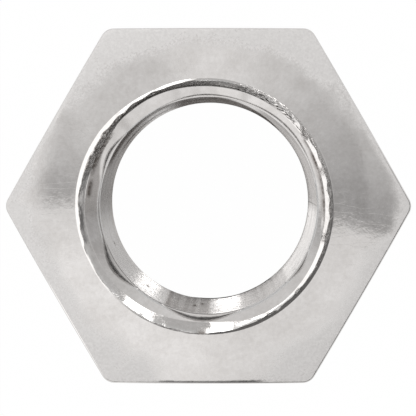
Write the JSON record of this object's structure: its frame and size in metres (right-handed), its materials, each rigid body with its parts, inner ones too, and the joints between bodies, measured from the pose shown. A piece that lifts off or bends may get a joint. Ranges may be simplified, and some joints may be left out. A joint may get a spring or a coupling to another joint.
{
  "type": "wheel nut",
  "caption": "Hexagonal steel wheel nut with a threaded through bore, a lobed countersink inside a raised lip at the wrench end, and a conical seat that centres the wheel.",
  "frame": {"origin": "centre of the flat ring at the seat end, on the bore's axis", "axes": "+Z along the bore towards the wrench end, +X through a corner of the hexagon"},
  "size_m": [0.0378, 0.033, 0.025],
  "materials": {
    "plated_steel": "bright zinc plating over forged steel, softly satin, with fine scratches"
  },
  "bodies": {
    "root": {"nut_body": "plated_steel"}
  },
  "joints": []
}
